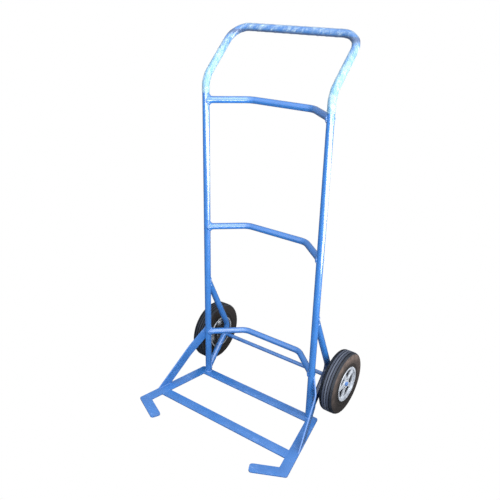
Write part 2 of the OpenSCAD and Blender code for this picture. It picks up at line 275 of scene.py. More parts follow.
def paintFinish(name, coords, stretch, turn=0.0, dusty=0.0, streaks=0.8, dull=0.0):
    mat, tree, shader = newMaterial(name, **{
        "Coat Weight": paint["coat"], "Coat Roughness": paint["coatRoughness"] + dull,
        "Specular IOR Level": paint["specular"]})
    place = objectCoords(tree) if coords == "object" else alongCoords(tree)
    brush = placeGroup(tree, brushedPaint, Vector=mapped(tree, place, stretch, turn), Streaks=streaks)
    tone = calc(tree, "ADD", brush["Streak"], ramp(tree, brush["Cloud"], 0.3, 0.7, 0.3, 0.7))
    colour = mixColours(tree, ramp(tree, tone, 0.1, 0.5), paint["deep"], paint["main"])
    colour = mixColours(tree, ramp(tree, tone, 0.55, 1.1), colour, paint["light"])
    if dusty:
        settled = placeGroup(tree, dust, Vector=objectCoords(tree), Scale=16.0, Low=0.45, High=0.85)["Mask"]
        drawn = mapped(tree, objectCoords(tree), (0.3, 2.2, 1), 0.5)
        marks = placeGroup(tree, scratches, Vector=drawn)["Mask"]
        colour = mixColours(tree, times(tree, settled, dusty), colour, paint["settled"])
        colour = mixColours(tree, times(tree, marks, 0.2), colour, paint["scratch"])
    # the right wheel's painted shadow darkens the colour beside it
    setInput(tree, shader.inputs["Base Color"], mixColours(tree, wheelShadowMask(tree), colour, paint["grimeAndShade"]))
    rough = calc(tree, "MULTIPLY_ADD", brush["Streak"], 0.25, paint["roughness"] + dull)
    setInput(tree, shader.inputs["Roughness"], rough)
    height = calc(tree, "ADD", times(tree, brush["Peel"], paint["peelShare"]), brush["Cloud"])
    setInput(tree, shader.inputs["Normal"], bump(tree, height, paint["peelHeight"]))
    return mat


film = {
    "clear": (0.16, 0.30, 0.50, 1),
    "hazy": (0.55, 0.68, 0.72, 1),
    # painted highlight: the paler film colour of the legs
    "legs": (0.24, 0.48, 0.60, 1),
    # painted shade: dark navy under the bar across
    "underShade": (0.012, 0.030, 0.110, 1),
    "thin": 0.15,  # opacity where the film lies tight
    "thick": 0.7,
    "legsMore": 0.25,
    "slant": 55.0,
    "creases": (90.0, 640.0, 1),
    "patches": (22.0, 60.0, 1),
    "haze": (0.50, 0.72),
    # heights above the bar's middle, where each begins and where it is full
    "legsFrom": (-0.03, -0.09), "underShadeFrom": (-0.003, -0.009), "underShadeTo": (-0.030, -0.018),
    "underShadeAmount": 0.8,
    "creaseHeight": 0.0006,
}


def filmFinish():
    mat, tree, shader = newMaterial("clearFilm", **{"Coat Weight": 0.6, "Coat Roughness": 0.1})
    slant = mapped(tree, alongCoords(tree), turn=math.radians(film["slant"]))
    crease = noise(tree, mapped(tree, slant, film["creases"]), 1.0, 4.0, 0.6)
    patch = noise(tree, mapped(tree, slant, film["patches"]), 1.0, 3.0)
    haze = calc(tree, "ADD", times(tree, crease, 0.6), times(tree, patch, 0.5))
    streak = ramp(tree, haze, *film["haze"])
    # the film paler and more opaque on the legs, a painted highlight where they catch the light, and painted
    # shade under the bar across
    height = separated(tree, objectCoords(tree))[2]
    legs, underShadeFrom, underShadeTo = (ramp(tree, height, *(handleTop + v for v in film[key]))
                                for key in ("legsFrom", "underShadeFrom", "underShadeTo"))
    # painted shade under the bar across, also made opaque
    underShade = times(tree, underShadeFrom, underShadeTo, film["underShadeAmount"])
    colour = mixColours(tree, streak, mixColours(tree, legs, film["clear"], film["legs"]), film["hazy"])
    setInput(tree, shader.inputs["Base Color"], mixColours(tree, underShade, colour, film["underShade"]))
    low = calc(tree, "MULTIPLY_ADD", legs, film["legsMore"], film["thin"])
    opacity = calc(tree, "ADD", low, times(tree, streak, calc(tree, "SUBTRACT", film["thick"], low)))
    setInput(tree, shader.inputs["Alpha"], calc(tree, "MAXIMUM", opacity, underShade))
    setInput(tree, shader.inputs["Roughness"], ramp(tree, crease, 0.3, 0.7, 0.16, 0.4))
    setInput(tree, shader.inputs["Normal"], bump(tree, crease, film["creaseHeight"]))
    return mat


rubber = {
    "tread": (0.004, 0.006, 0.010, 1),
    "treadWorn": (0.050, 0.058, 0.076, 1),
    # paler rib colour: wear and a painted highlight
    "ribs": (0.064, 0.073, 0.100, 1),
    "seam": (0.13, 0.145, 0.175, 1),
    "side": (0.012, 0.010, 0.009, 1),
    "dusty": (0.108, 0.080, 0.068, 1),
    "specular": 0.22,
    "treadFrom": 0.965,  # shares of the wheel's radius
    "sideFrom": 0.94,
    "dustFull": 0.84,
    "dustEnd": 0.6,
    "ribsWithin": (0.018, 0.008),  # from the tread's middle
    "seamWithin": (0.0011, 0.0005),
    "grainHeight": 0.00012,
}


def rubberFinish():
    mat, tree, shader = newMaterial("tyreRubber", **{"Specular IOR Level": rubber["specular"]})
    place = objectCoords(tree)
    x, z, r = fromAxle(tree, place)
    r = calc(tree, "DIVIDE", r, wheelR)
    across = addNode(tree, "ShaderNodeCombineXYZ", {0: x, 1: times(tree, r, 0.02)}).outputs[0]
    fineLines = ramp(tree, noise(tree, across, 900.0, 2.0, 0.7), 0.56, 0.7)
    worn = placeGroup(tree, dust, Vector=place, Scale=30.0, Low=0.38, High=0.8)["Mask"]
    tread = mixColours(tree, times(tree, fineLines, 0.5), rubber["tread"], rubber["treadWorn"])
    tread = mixColours(tree, times(tree, worn, 0.3), tread, rubber["treadWorn"])
    # paler ribs around the middle, wear and a painted highlight, and the mould's seam; both painted much
    # paler on the right wheel as the lit one
    outwardX = calc(tree, "ABSOLUTE", x)
    middle = calc(tree, "ABSOLUTE", calc(tree, "SUBTRACT", outwardX, wheelMid))
    wornAndLitRight = ramp(tree, x, -0.1, 0.1, 0.1, 0.9)
    onRibs = times(tree, ramp(tree, middle, *rubber["ribsWithin"]), ramp(tree, r, 0.972, 0.985), wornAndLitRight)
    tread = mixColours(tree, onRibs, tread, rubber["ribs"])
    onSeam = times(tree, ramp(tree, middle, *rubber["seamWithin"]), wornAndLitRight)
    tread = mixColours(tree, onSeam, tread, rubber["seam"])
    # dusty colour on the side, in rings; less of it on the inner side, and darker towards the bottom
    rings = noise(tree, addNode(tree, "ShaderNodeCombineXYZ", {0: r}).outputs[0], 45.0, 3.0, 0.6)
    settled = times(tree, ramp(tree, r, rubber["dustEnd"], rubber["dustFull"]),
                    ramp(tree, calc(tree, "ADD", worn, rings), 0.3, 1.1, 0.3, 1.0),
                    ramp(tree, outwardX, wheelMid, wheelMid + 0.01, 0.12, 1.0),
                    ramp(tree, z, -0.55 * wheelR, 0.8 * wheelR, 0.1, 1.0))
    side = mixColours(tree, settled, rubber["side"], rubber["dusty"])
    onSide = ramp(tree, r, rubber["treadFrom"], rubber["sideFrom"])
    setInput(tree, shader.inputs["Base Color"], mixColours(tree, onSide, tread, side))
    rough = ramp(tree, worn, 0, 1, 0.42, 0.7)
    setInput(tree, shader.inputs["Roughness"], calc(tree, "MULTIPLY_ADD", onSide, 0.25, rough))
    grain = calc(tree, "ADD", noise(tree, place, 900.0, 3.0), times(tree, fineLines, 0.5))
    setInput(tree, shader.inputs["Normal"], bump(tree, grain, rubber["grainHeight"]))
    return mat


cast = {
    "dark": (0.38, 0.40, 0.44, 1),
    "bright": (0.54, 0.57, 0.61, 1),
    "grimeAndShade": (0.22, 0.21, 0.20, 1),
    # painted shade: near-black colour for the hub's hollows
    "hollowShade": (0.006, 0.006, 0.008, 1),
    "hollowShadeAmount": 0.94,
    "hollowShadeBehind": 0.016,  # in from the rim's edge
    "hollowShadeMore": 0.006,  # how much further out the right hub's painted shade reaches
    "grainHeight": 0.00015,
}


def castFinish():
    mat, tree, shader = newMaterial("castHub", **{"Specular IOR Level": 0.5})
    place = objectCoords(tree)
    cloud = noise(tree, place, 40.0, 4.0)
    grain = noise(tree, place, 1200.0, 3.0)
    grimeAndShade = placeGroup(tree, dust, Vector=place, Scale=45.0, Low=0.5, High=0.85)["Mask"]
    colour = mixColours(tree, ramp(tree, cloud, 0.3, 0.7), cast["dark"], cast["bright"])
    colour = mixColours(tree, times(tree, grimeAndShade, 0.5), colour, cast["grimeAndShade"])
    # raw metal inside the barrel and behind the web, made near black as painted shade of these hollows
    x, _, r = fromAxle(tree, place)
    webBack = wheelMid + rimHalf - cast["hollowShadeBehind"]
    deep = calc(tree, "SUBTRACT", calc(tree, "ABSOLUTE", x), ramp(tree, x, -0.1, 0.1, 0, cast["hollowShadeMore"]))
    hollowShaded = times(tree, ramp(tree, deep, webBack - 0.0005, webBack - 0.003),
                  ramp(tree, r, lipR - 0.003, lipR - 0.006))
    colour = mixColours(tree, times(tree, hollowShaded, cast["hollowShadeAmount"]), colour, cast["hollowShade"])
    setInput(tree, shader.inputs["Base Color"], colour)
    dull = calc(tree, "MAXIMUM", grimeAndShade, hollowShaded)
    setInput(tree, shader.inputs["Metallic"], ramp(tree, dull, 0, 1, 0.55, 0.1))
    setInput(tree, shader.inputs["Roughness"], ramp(tree, cloud, 0.3, 0.7, 0.4, 0.54))
    setInput(tree, shader.inputs["Normal"], bump(tree, grain, cast["grainHeight"]))
    return mat


plastic = {"clean": (0.02, 0.02, 0.022, 1), "dusty": (0.09, 0.09, 0.09, 1), "grainHeight": 0.00006}


def plasticFinish():
    mat, tree, shader = newMaterial("bushPlastic")
    place = objectCoords(tree)
    grey = placeGroup(tree, dust, Vector=place, Scale=60.0, Low=0.45, High=0.9)["Mask"]
    setInput(tree, shader.inputs["Base Color"], mixColours(tree, grey, plastic["clean"], plastic["dusty"]))
    setInput(tree, shader.inputs["Roughness"], ramp(tree, grey, 0, 1, 0.38, 0.6))
    setInput(tree, shader.inputs["Normal"], bump(tree, noise(tree, place, 1500.0), plastic["grainHeight"]))
    return mat


zinc = {
    "dark": (0.72, 0.75, 0.79, 1), "bright": (0.88, 0.9, 0.92, 1), "scratch": (0.5, 0.52, 0.55, 1),
    "scratchDepth": 0.00008,
}


def zincFinish():
    mat, tree, shader = newMaterial("zincSteel")
    place = objectCoords(tree)
    spangle = addNode(tree, "ShaderNodeTexVoronoi", {"Vector": place, "Scale": 260.0}).outputs["Color"]
    tone = addNode(tree, "ShaderNodeSeparateColor", {0: spangle}).outputs[0]
    marks = placeGroup(tree, scratches, Vector=place, Scale=150.0, Width=0.02)["Mask"]
    colour = mixColours(tree, tone, zinc["dark"], zinc["bright"])
    setInput(tree, shader.inputs["Base Color"], mixColours(tree, marks, colour, zinc["scratch"]))
    setInput(tree, shader.inputs["Metallic"], ramp(tree, tone, 0, 1, 0.7, 0.85))
    setInput(tree, shader.inputs["Roughness"], ramp(tree, tone, 0, 1, 0.24, 0.36))
    setInput(tree, shader.inputs["Normal"], bump(tree, marks, -zinc["scratchDepth"]))
    return mat


tubePaint = paintFinish("tubePaint", "along", (0.8, 0.12, 1))
barPaint = paintFinish("barPaint", "object", (1.6, 0.22, 1), math.radians(32), dusty=0.05, streaks=0.28,
                       dull=0.12)
weldPaint = paintFinish("weldPaint", "object", (1, 1, 1))
clearFilm = filmFinish()
tyreRubber = rubberFinish()
castHub = castFinish()
bushPlastic = plasticFinish()
zincSteel = zincFinish()

# mesh building


def addPiece(name, mesh, mat, body, nodes, sharp=30):
    piece = intoScene(bpy.data.objects.new(name, mesh))
    mesh.materials.clear()
    mesh.materials.append(mat)
    shaded = bmesh.new()
    shaded.from_mesh(mesh)
    for face in shaded.faces:
        face.smooth = True
    for edge in shaded.edges:
        edge.smooth = len(edge.link_faces) == 2 and edge.calc_face_angle() < math.radians(sharp)
    shaded.to_mesh(mesh)
    shaded.free()
    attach(piece, body)
    if nodes:
        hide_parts(*nodes)
    return piece


def gridMesh(name, rings, closed=False, lengths=None):
    # rings of points, each ring closed; a run that isn't closed is capped at both ends
    rings = np.asarray(rings, float)
    count, sides = rings.shape[:2]
    rows = count if closed else count - 1
    i, j = np.meshgrid(np.arange(rows), np.arange(sides), indexing="ij")
    nextRow, nextSide = (i + 1) % count, (j + 1) % sides
    quads = np.stack([i * sides + j, i * sides + nextSide, nextRow * sides + nextSide, nextRow * sides + j],
                     axis=-1)
    faces = quads.reshape(-1, 4).tolist()
    if not closed:
        faces.append(list(range(sides))[::-1])
        faces.append(list(range((count - 1) * sides, count * sides)))
    mesh = bpy.data.meshes.new(name)
    mesh.from_pydata(rings.reshape(-1, 3).tolist(), [], faces)
    if lengths is not None:
        around = 2 * math.pi * tubeR / sides
        lengths = np.asarray(lengths, float)
        u, v = np.stack([j, j + 1, j + 1, j], -1) * around, np.stack([i, i, i + 1, i + 1], -1)
        uv = np.stack([u, lengths[v]], -1).reshape(-1, 2)
        uv = np.vstack([uv, np.zeros((len(mesh.loops) - len(uv), 2))])
        mesh.uv_layers.new(name="along").data.foreach_set("uv", uv.astype(np.float32).ravel())
    return mesh


def joinMeshes(name, meshes):
    both = bmesh.new()
    for mesh in meshes:
        both.from_mesh(mesh)
        bpy.data.meshes.remove(mesh)
    made = bpy.data.meshes.new(name)
    both.to_mesh(made)
    both.free()
    return made


def outwards(mesh):
    made = bmesh.new()
    made.from_mesh(mesh)
    bmesh.ops.remove_doubles(made, verts=made.verts, dist=1e-6)
    bmesh.ops.recalc_face_normals(made, faces=made.faces)
    made.to_mesh(mesh)
    made.free()
    return mesh


def mirrored(mesh):
    mesh.transform(Matrix.Diagonal((-1, 1, 1, 1)))
    mesh.flip_normals()
    return mesh


def bentPath(corners, radii, arcStep=math.radians(3)):
    # the corners joined by straights and round bends
    corners = [Vector(c) for c in corners]
    path = [corners[0]]
    for before, corner, after, radius in zip(corners, corners[1:], corners[2:], radii):
        a, b = (corner - before).normalized(), (after - corner).normalized()
        turn = a.angle(b)
        inner = (b - a * a.dot(b)).normalized()
        centre = corner - a * radius * math.tan(turn / 2) + inner * radius
        steps = max(2, math.ceil(turn / arcStep))
        for i in range(steps + 1):
            t = turn * i / steps
            path.append(centre + radius * (a * math.sin(t) - inner * math.cos(t)))
    return path + [corners[-1]]


def runAlong(path):
    return np.concatenate([[0], np.cumsum(np.linalg.norm(np.diff(path, axis=0), axis=1))])


def evenPath(path, step):
    path = np.array([tuple(p) for p in path])
    run = runAlong(path)
    places = np.linspace(0, run[-1], max(2, round(run[-1] / step)) + 1)
    return [Vector(np.array([np.interp(s, run, path[:, k]) for k in range(3)])) for s in places]


def sweep(path, radius, sides=48, closed=False):
    # rings of a round section carried along the path; radius is a number or one for each ring
    path = np.array([tuple(p) for p in path])
    ahead = np.roll(path, -1, 0) - path
    behind = path - np.roll(path, 1, 0)
    if not closed:
        ahead[-1], behind[0] = behind[-1], ahead[0]
    unit = lambda v: v / np.linalg.norm(v, axis=-1, keepdims=True)
    tangent = unit(unit(ahead) + unit(behind))
    radius = np.broadcast_to(radius, len(path))
    side = np.cross(tangent[0], (0.31, 0.87, 0.38))  # any way that no tube starts in
    rings = []
    t = np.arange(sides) * 2 * math.pi / sides
    for centre, along, r in zip(path, tangent, radius):
        side = unit(side - along * side.dot(along))
        other = np.cross(along, side)
        rings.append(centre + r * (np.cos(t)[:, None] * side + np.sin(t)[:, None] * other))
    return rings, runAlong(path)


def tubePiece(name, path, radius, mat, body, nodes, sides=48):
    rings, run = sweep(path, radius, sides)
    return addPiece(name, gridMesh(name, rings, lengths=run), mat, body, nodes)


def turned(name, profile, middle=0.0, sides=144, closed=True):
    # a round piece on the axle's line; profile is [distance out, radius], closed or capped at both ends
    t = np.arange(sides) * 2 * math.pi / sides
    rings = [[(middle + x, axleY + r * math.cos(a), axleZ + r * math.sin(a)) for a in t] for x, r in profile]
    return outwards(gridMesh(name, rings, closed))


def arc(centre, radius, start, end, steps=6):
    # points on an arc, by angles in degrees
    angles = [math.radians(start + (end - start) * i / steps) for i in range(steps + 1)]
    return [(centre[0] + radius * math.cos(a), centre[1] + radius * math.sin(a)) for a in angles]


def roundedOutline(points, radii, steps=6):
    points = [Vector(p) for p in points]
    out = []
    for i, (corner, radius) in enumerate(zip(points, radii)):
        a = (points[i - 1] - corner).normalized()
        b = (points[(i + 1) % len(points)] - corner).normalized()
        half = a.angle(b) / 2
        if radius == 0:
            out.append(corner)
            continue
        centre = corner + (a + b).normalized() * radius / math.sin(half)
        start = (corner + a * radius / math.tan(half) - centre).normalized()
        end = (corner + b * radius / math.tan(half) - centre).normalized()
        out += [centre + radius * start.slerp(end, k / steps) for k in range(steps + 1)]
    return out


def plateMesh(name, outline, thick, bevel=0.0007):
    # flat plate lying from z = 0 up, with its long edges rounded over
    made = bmesh.new()
    face = made.faces.new([made.verts.new((p[0], p[1], 0)) for p in outline])
    made.normal_update()
    if face.normal.z > 0:
        face.normal_flip()
    grown = bmesh.ops.extrude_face_region(made, geom=[face])["geom"]
    raised = [v for v in grown if isinstance(v, bmesh.types.BMVert)]
    bmesh.ops.translate(made, verts=raised, vec=(0, 0, thick))
    level = [e for e in made.edges if abs(e.verts[0].co.z - e.verts[1].co.z) < 1e-6]
    bmesh.ops.bevel(made, geom=level, offset=bevel, segments=3, profile=0.6, affect="EDGES")
    bmesh.ops.recalc_face_normals(made, faces=made.faces)
    mesh = bpy.data.meshes.new(name)
    made.to_mesh(mesh)
    made.free()
    return mesh


# geometry nodes


def newNodes(name, inputs):
    tree = bpy.data.node_groups.new(name, "GeometryNodeTree")
    tree.interface.new_socket("Geometry", in_out="INPUT", socket_type="NodeSocketGeometry")
    for label, (kind, value) in inputs.items():
        socket = tree.interface.new_socket(label, in_out="INPUT", socket_type="NodeSocket" + kind)
        if value is not None:
            socket.default_value = value
    tree.interface.new_socket("Geometry", in_out="OUTPUT", socket_type="NodeSocketGeometry")
    return tree, tree.nodes.new("NodeGroupInput").outputs, tree.nodes.new("NodeGroupOutput").inputs


def finishNodes(tree, geometry, mat, out):
    whole = addNode(tree, "GeometryNodeRealizeInstances", {"Geometry": geometry}).outputs[0]
    painted = addNode(tree, "GeometryNodeSetMaterial", {"Geometry": whole, "Material": mat}).outputs[0]
    tree.links.new(painted, out["Geometry"])


def evaluated(holder):
    mesh = bpy.data.meshes.new_from_object(holder.evaluated_get(bpy.context.evaluated_depsgraph_get()))
    holder.modifiers.clear()
    bpy.data.objects.remove(holder)
    return mesh


def grow(data, tree, **values):
    # the tree run on a curve or a mesh, as a plain mesh
    holder = intoScene(bpy.data.objects.new("grow", data))
    modifier = holder.modifiers.new(tree.name, "NODES")
    modifier.node_group = tree
    sockets = {s.name: s.identifier for s in tree.interface.items_tree if s.in_out == "INPUT"}
    for label, value in values.items():
        modifier[sockets[label]] = value
    return evaluated(holder)


def addLine(curve, points, size=1.0, cyclic=True):
    spline = curve.splines.new("POLY")
    spline.points.add(len(points) - 1)
    for point, place in zip(spline.points, points):
        point.co = (*place, 1)
        point.radius = size
    spline.use_cyclic_u = cyclic


def beadTree():
    # a weld bead laid along each curve, as wide as the curve's radius, with ripples across it
    tree, inp, out = newNodes("weldBead", {
        "Step": ("Float", 0.0008), "Ripple": ("Float", 0.0035), "Ripple Height": ("Float", 0.0003),
        "Roughness": ("Float", 0.0004), "Grain": ("Float", 260.0), "Sides": ("Int", 12),
        "Seed": ("Float", 3.0), "Material": ("Material", None)})
    even = addNode(tree, "GeometryNodeResampleCurve", {"Curve": inp["Geometry"], "Length": inp["Step"]},
                   mode="LENGTH")
    run = tree.nodes.new("GeometryNodeSplineParameter").outputs["Length"]
    kept = addNode(tree, "GeometryNodeCaptureAttribute", {"Geometry": even.outputs[0]})
    kept.capture_items.new("FLOAT", "run")
    tree.links.new(run, kept.inputs["run"])
    section = addNode(tree, "GeometryNodeCurvePrimitiveCircle", {"Resolution": inp["Sides"], "Radius": 1.0})
    size = tree.nodes.new("GeometryNodeInputRadius").outputs[0]
    bead = addNode(tree, "GeometryNodeCurveToMesh", {
        "Curve": kept.outputs["Geometry"], "Profile Curve": section.outputs[0], "Scale": size,
        "Fill Caps": True})
    phase = times(tree, calc(tree, "DIVIDE", kept.outputs["run"], inp["Ripple"]), 2 * math.pi)
    rippled = times(tree, calc(tree, "SINE", phase), inp["Ripple Height"])
    rough = addNode(tree, "ShaderNodeTexNoise", {"Scale": inp["Grain"], "Detail": 2.0, "W": inp["Seed"]},
                    noise_dimensions="4D").outputs[0]
    uneven = times(tree, calc(tree, "SUBTRACT", rough, 0.5), inp["Roughness"])
    normal = tree.nodes.new("GeometryNodeInputNormal").outputs[0]
    offset = addNode(tree, "ShaderNodeVectorMath", {0: normal, "Scale": calc(tree, "ADD", rippled, uneven)},
                     operation="SCALE").outputs[0]
    laid = addNode(tree, "GeometryNodeSetPosition", {
        "Geometry": bead.outputs[0], "Offset": offset}).outputs[0]
    smooth = addNode(tree, "GeometryNodeSetShadeSmooth", {"Geometry": laid, "Shade Smooth": True}).outputs[0]
    finishNodes(tree, smooth, inp["Material"], out)
    return tree


def ringTree():
    # copies of the mesh set evenly round the X axis
    tree, inp, out = newNodes("setRound", {
        "Count": ("Int", 5), "Start": ("Float", 0.0), "Material": ("Material", None)})
    points = addNode(tree, "GeometryNodePoints", {"Count": inp["Count"]}).outputs[0]
    share = calc(tree, "DIVIDE", tree.nodes.new("GeometryNodeInputIndex").outputs[0], inp["Count"])
    angle = calc(tree, "MULTIPLY_ADD", share, 2 * math.pi, inp["Start"])
    turn = addNode(tree, "FunctionNodeAxisAngleToRotation", {"Axis": (1, 0, 0), "Angle": angle}).outputs[0]
    copies = addNode(tree, "GeometryNodeInstanceOnPoints", {
        "Points": points, "Instance": inp["Geometry"], "Rotation": turn}).outputs[0]
    finishNodes(tree, copies, inp["Material"], out)
    return tree


weldBead = beadTree()
setRound = ringTree()

# main tube, rungs and axle braces

tube = {"lowBend": 0.080, "topBend": 0.065, "aboveRung": 0.075, "step": 0.002}
rungs = {"bow": 0.105, "side": 0.120, "bend": 0.055, "flare": 0.0034, "flareLength": 0.020}
braces = {"foot": 0.0212, "straight": 0.0011, "lean": 25.5, "bend": 0.048}
rungLow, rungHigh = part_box("upper_rung")
rungR = (rungHigh.z - rungLow.z) / 2
stileH = rungLow.z + rungR + tube["aboveRung"]
braceLow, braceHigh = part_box("right_axle_brace")
braceR = (braceHigh.x - braceLow.x) / 2


def framePath(leftZ, rightZ):
    corners = [(-halfW, 0, leftZ), (-halfW, 0, stileH), (-halfW, handleBack, handleTop),
               (halfW, handleBack, handleTop), (halfW, 0, stileH), (halfW, 0, rightZ)]
    return bentPath(corners, [tube["lowBend"], tube["topBend"], tube["topBend"], tube["lowBend"]])


def rungPath(z):
    bendX = halfW - rungs["side"]
    corners = [(-halfW, 0, z), (-bendX, rungs["bow"], z), (bendX, rungs["bow"], z), (halfW, 0, z)]
    return bentPath(corners, [rungs["bend"], rungs["bend"]])


def bracePlan():
    # the axle lies against the brace's lower leg, so the leg's slope follows from both radii
    axle, foot = Vector((axleY, axleZ)), Vector((0, braces["foot"]))
    reach = (axle - foot).length
    off = braceR + axleR
    slope = math.atan2(axle.y - foot.y, axle.x) + math.asin(off / reach)
    lean = math.radians(braces["lean"])
    past = braces["straight"] + braces["bend"] * math.tan((math.pi / 2 - slope + lean) / 2)
    leg = math.sqrt(reach ** 2 - off ** 2) + past
    elbow = foot + leg * Vector((math.cos(slope), math.sin(slope)))
    top = elbow.y + elbow.x / math.tan(lean)
    return elbow, top, slope


elbow, braceTop, legSlope = bracePlan()

tubePiece("frameTube", framePath(barTop, barTop), tubeR, tubePaint, "frame", ["frame_tube"])


def flared(path, radius):
    # the rings near both ends widen into the joint
    path = evenPath(path, tube["step"])
    run = np.arange(len(path)) * tube["step"]
    near = np.minimum(run, run[::-1]) - math.sqrt(tubeR ** 2 - radius ** 2 / 2)
    return path, radius + rungs["flare"] * np.clip(1 - near / rungs["flareLength"], 0, 1) ** 2


rungHeights = {}
for place in ("upper", "middle", "lower"):
    low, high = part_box(place + "_rung")
    rungHeights[place] = (low.z + high.z) / 2
    path, radius = flared(rungPath(rungHeights[place]), rungR)
    tubePiece(place + "Rung", path, radius, tubePaint, "frame", [place + "_rung"])
for side, sign in bothSides.items():
    corners = [(sign * halfW, y, z) for y, z in ((0, braceTop), elbow, (0, braces["foot"]))]
    tubePiece(side + "AxleBrace", bentPath(corners, [braces["bend"]]), braceR, tubePaint, "frame",
              [side + "_axle_brace"])
print("tubes swept")

# toe frame

toe = {
    "width": 0.040, "back": 0.0117, "side": 0.036, "splay": 11.44, "length": 0.3298,
    "hookAngle": 26.0, "hookLength": 0.135, "frontBar": 0.211,
    "corner": 0.009, "front": 0.008, "tip": 0.011, "inner": 0.002, "barEdge": 0.0005,
}
splay, hook = math.radians(toe["splay"]), math.radians(toe["hookAngle"])
forward = Vector((math.sin(splay), -math.cos(splay)))
inward = Vector((-math.cos(splay), -math.sin(splay)))
toTip = Vector((-math.cos(hook), -math.sin(hook)))
tipSide = Vector((-math.sin(hook), math.cos(hook)))
backCorner = Vector((halfW + toe["side"], toe["back"]))
backInnerX = backCorner.x - toe["width"] / math.cos(splay)


def innerX(y):
    return backInnerX + (toe["back"] - y) * math.tan(splay)


def toeSide():
    # side bar and hook, cut as one piece
    front = backCorner + toe["length"] * forward
    half = (-forward).angle(toTip) / 2
    inner = front + toe["width"] / math.sin(half) * (toTip - forward).normalized()
    tip = front + toe["hookLength"] * toTip
    outline = roundedOutline(
        [backCorner, front, tip, tip + toe["width"] * tipSide, inner, (backInnerX, toe["back"])],
        [toe["corner"], toe["front"], toe["tip"], toe["tip"], toe["inner"], 0])
    return plateMesh("toeSide", outline, barTop)


def crossBar(place, backY):
    frontY = backY - toe["width"]
    right = [(innerX(backY), backY), (innerX(frontY), frontY)]
    outline = right + [(-x, y) for x, y in right[::-1]]
    addPiece(place + "Bar", plateMesh(place + "Bar", outline, barTop, toe["barEdge"]), barPaint, "frame",
             [place + "_bar"])


crossBar("back", toe["back"])
crossBar("front", toe["back"] - toe["frontBar"])
addPiece("rightToeSide", toeSide(), barPaint, "frame", ["right_side_bar", "right_toe_hook"])
addPiece("leftToeSide", mirrored(toeSide()), barPaint, "frame", ["left_side_bar", "left_toe_hook"])

# flat braces

flat = {
    "width": 0.040, "thick": 0.005, "leftFoot": 0.240, "rightFoot": 0.212, "lower": 0.166,
    "slope": 40.5, "topSlope": 46.5, "bend": 0.012, "bendSteps": 8,
    "short": 0.3,  # how far the end stops before the stile's side, as a share of the tube's radius
}
flatSlope, flatTopSlope = math.radians(flat["slope"]), math.radians(flat["topSlope"])
creaseTop = barTop + flat["lower"] * math.tan(flatSlope)
flatRise = flat["width"] / math.cos(flatSlope)
flatFoot = flat["width"] / math.sin(flatSlope)


def flatPlan(foot):
    # crease, length of the upper stretch and its way, seen from above
    crease = backCorner + (foot - flat["lower"]) * forward + flat["thick"] / 2 * inward
    toStile = Vector((halfW, 0)) - crease
    off = tubeR - flat["thick"] / 2
    turn = math.atan2(toStile.y, toStile.x) - math.asin(off / toStile.length)
    run = math.sqrt(toStile.length ** 2 - off ** 2) - flat["short"] * tubeR
    return crease, run, Vector((math.cos(turn), math.sin(turn)))


flatPlans = {sign: flatPlan(flat[side + "Foot"]) for side, sign in bothSides.items()}


def flatPlace(plan, run, out):
    # plan position at a run from the crease (to the front below 0) and a step out of the plate's middle
    crease, _, topWay = plan
    lowWay, half = -forward, flat["bend"] / 2
    share = min(max((run + half) / flat["bend"], 0), 1)
    way = lowWay.lerp(topWay, share).normalized()
    bent = share ** 2 * half if share < 1 else run
    return crease + lowWay * (run - bent) + topWay * bent + Vector((way.y, -way.x)) * out


def flatBrace(plan):
    low, topRun = creaseTop - flatRise, plan[1]
    rise = topRun * math.tan(flatTopSlope)
    outline = [(-flat["lower"], barTop), (-flat["lower"] + flatFoot, barTop), (0, low), (topRun, low + rise),
               (topRun, creaseTop + rise), (0, creaseTop)]
    mesh = plateMesh("flatBrace", outline, flat["thick"])
    cut = bmesh.new()
    cut.from_mesh(mesh)
    for k in range(flat["bendSteps"] + 1):
        x = (k / flat["bendSteps"] - 0.5) * flat["bend"]
        bmesh.ops.bisect_plane(cut, geom=cut.verts[:] + cut.edges[:] + cut.faces[:], plane_co=(x, 0, 0),
                               plane_no=(1, 0, 0))
    for v in cut.verts:
        place = flatPlace(plan, v.co.x, v.co.z - flat["thick"] / 2)
        v.co = Vector((place.x, place.y, v.co.y))
    bmesh.ops.recalc_face_normals(cut, faces=cut.faces)
    cut.to_mesh(mesh)
    cut.free()
    return mesh


addPiece("rightFlatBrace", flatBrace(flatPlans[1]), barPaint, "frame", ["right_flat_brace"], sharp=35)
addPiece("leftFlatBrace", mirrored(flatBrace(flatPlans[-1])), barPaint, "frame",
         ["left_flat_brace"], sharp=35)
print("toe frame and flat braces cut")

# weld beads

welds = {
    # radius of each bead
    "tube": 0.0030, "rung": 0.0042, "plate": 0.0017, "butt": 0.0012, "axle": 0.0032, "tack": 0.0040,
    "tackSide": 0.0122, "tackBack": 0.006, "tackUp": 0.420, "tackRing": 0.001,
    "axleWide": 0.007, "axleLong": 0.006,
    "footFrom": 0.004, "footTo": 0.003, "topEnd": 0.002, "buttEnd": 0.001,  # kept clear at the ends
    "buttSunk": 0.45, "flareShare": 0.6, "widest": 0.985, "seed": 3.0,
}


def circleAngles(count):
    return np.linspace(0, 2 * math.pi, count, endpoint=False)


def saddle(place, way, across, radius, count=72):
    # where a tube from the middle of a stile, running along way, leaves the stile's surface
    points = []
    other = way.cross(across)
    level = math.hypot(way.x, way.y)
    wide = min(radius, welds["widest"] * tubeR)
    for k in range(count):
        t = 2 * math.pi * k / count
        around = wide * math.cos(t) * across + radius * math.sin(t) * other
        sideways = around.dot(across)
        rest = (math.sqrt(tubeR ** 2 - sideways ** 2) - around.dot(Vector((way.x, way.y, 0)) / level)) / level
        points.append(place + around + way * rest)
    return points


